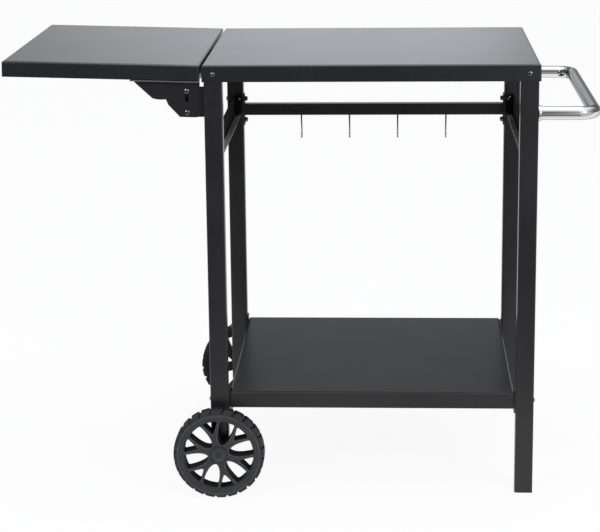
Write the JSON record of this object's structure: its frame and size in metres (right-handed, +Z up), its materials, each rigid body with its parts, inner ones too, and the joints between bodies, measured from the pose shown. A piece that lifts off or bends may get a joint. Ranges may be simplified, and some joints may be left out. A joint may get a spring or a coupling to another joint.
{
  "type": "barbecue cart",
  "caption": "Folded steel worktop on tube legs with a lower shelf, wheels at one end, a push handle, a rail with hanging hooks and a side shelf that folds down.",
  "frame": {"origin": "on the floor, under the middle of the cart's bounding box", "axes": "+X from the side shelf to the push handle, +Y from the front to the rear rail with the hooks, +Z up"},
  "size_m": [1.1336, 0.6146, 0.8597],
  "materials": {
    "top_paint": "satin black powder coat on folded sheet, greyer where it mirrors the sky",
    "frame_paint": "satin black powder coat",
    "black_bolt": "black zinc-plated steel",
    "bare_steel": "bright stainless steel",
    "polished_steel": "polished stainless steel tube",
    "wheel_plastic": "moulded dark grey plastic",
    "plug_plastic": "moulded black plastic"
  },
  "bodies": {
    "frame": {"main_top": "top_paint", "lower_shelf": "top_paint", "main_top_stiffener": "frame_paint", "lower_shelf_stiffener": "frame_paint", "rear_bar": "frame_paint", "leg_front_left": "frame_paint", "leg_front_right": "frame_paint", "leg_rear_left": "frame_paint", "leg_rear_right": "frame_paint", "side_rail_left": "frame_paint", "side_rail_right": "frame_paint", "shelf_bracket_front_left": "frame_paint", "shelf_bracket_front_right": "frame_paint", "shelf_bracket_rear_left": "frame_paint", "shelf_bracket_rear_right": "frame_paint", "fold_stay_front": "frame_paint", "fold_stay_rear": "frame_paint", "top_screw_front_left": "black_bolt", "top_screw_front_right": "black_bolt", "top_screw_rear_left": "black_bolt", "top_screw_rear_right": "black_bolt", "rail_screw_front_left": "black_bolt", "rail_screw_front_right": "black_bolt", "rail_screw_rear_left": "black_bolt", "rail_screw_rear_right": "black_bolt", "bar_bolt_upper_left": "black_bolt", "bar_bolt_upper_right": "black_bolt", "bar_bolt_lower_left": "black_bolt", "bar_bolt_lower_right": "black_bolt", "shelf_bolt_front_left": "black_bolt", "shelf_bolt_front_right": "black_bolt", "shelf_bolt_rear_left": "black_bolt", "shelf_bolt_rear_right": "black_bolt", "pivot_bolt_front": "black_bolt", "pivot_bolt_rear": "black_bolt", "axle": "bare_steel", "handle": "polished_steel", "handle_collar_front": "polished_steel", "handle_collar_rear": "polished_steel", "axle_spacer_front": "wheel_plastic", "axle_spacer_rear": "wheel_plastic", "leg_plug_front_left": "plug_plastic", "leg_plug_rear_left": "plug_plastic", "foot_front_right": "plug_plastic", "foot_rear_right": "plug_plastic"},
    "side_shelf_leaf": {"side_shelf": "top_paint", "side_shelf_stiffener": "frame_paint", "fold_link_front": "frame_paint", "fold_link_rear": "frame_paint"},
    "lock_front": {"lock_bolt_front": "black_bolt"},
    "lock_rear": {"lock_bolt_rear": "black_bolt"},
    "rolling_wheel_front": {"wheel_front": "wheel_plastic", "wheel_cap_front": "wheel_plastic"},
    "rolling_wheel_rear": {"wheel_rear": "wheel_plastic", "wheel_cap_rear": "wheel_plastic"},
    "hanging_hook_1": {"hook_1": "bare_steel"},
    "hanging_hook_2": {"hook_2": "bare_steel"},
    "hanging_hook_3": {"hook_3": "bare_steel"},
    "hanging_hook_4": {"hook_4": "bare_steel"}
  },
  "joints": [
    {"name": "side_shelf_fold", "type": "hinge", "parent": "frame", "child": "side_shelf_leaf", "pos_m": [-0.21661, 0, 0.75814], "axis": [0, -1, 0], "range_deg": [0, 90]},
    {"name": "lock_front_slide", "type": "slide", "parent": "side_shelf_leaf", "child": "lock_front", "axis": [-0.0262, 0, -0.9997], "range_m": [0, 0.018]},
    {"name": "lock_rear_slide", "type": "slide", "parent": "side_shelf_leaf", "child": "lock_rear", "axis": [-0.0262, 0, -0.9997], "range_m": [0, 0.018]},
    {"name": "wheel_front_spin", "type": "hinge", "parent": "frame", "child": "rolling_wheel_front", "pos_m": [-0.16641, -0.2865, 0.089], "axis": [0, 1, 0], "continuous": true},
    {"name": "wheel_rear_spin", "type": "hinge", "parent": "frame", "child": "rolling_wheel_rear", "pos_m": [-0.16641, 0.2865, 0.089], "axis": [0, 1, 0], "continuous": true},
    {"name": "hook_1_swing", "type": "hinge", "parent": "frame", "child": "hanging_hook_1", "pos_m": [-0.02461, 0.2585, 0.66102], "axis": [1, 0, 0], "range_deg": [-18, 18]},
    {"name": "hook_2_swing", "type": "hinge", "parent": "frame", "child": "hanging_hook_2", "pos_m": [0.07939, 0.2585, 0.66102], "axis": [1, 0, 0], "range_deg": [-18, 18]},
    {"name": "hook_3_swing", "type": "hinge", "parent": "frame", "child": "hanging_hook_3", "pos_m": [0.18339, 0.2585, 0.66102], "axis": [1, 0, 0], "range_deg": [-18, 18]},
    {"name": "hook_4_swing", "type": "hinge", "parent": "frame", "child": "hanging_hook_4", "pos_m": [0.28739, 0.2585, 0.66102], "axis": [1, 0, 0], "range_deg": [-18, 18]}
  ]
}
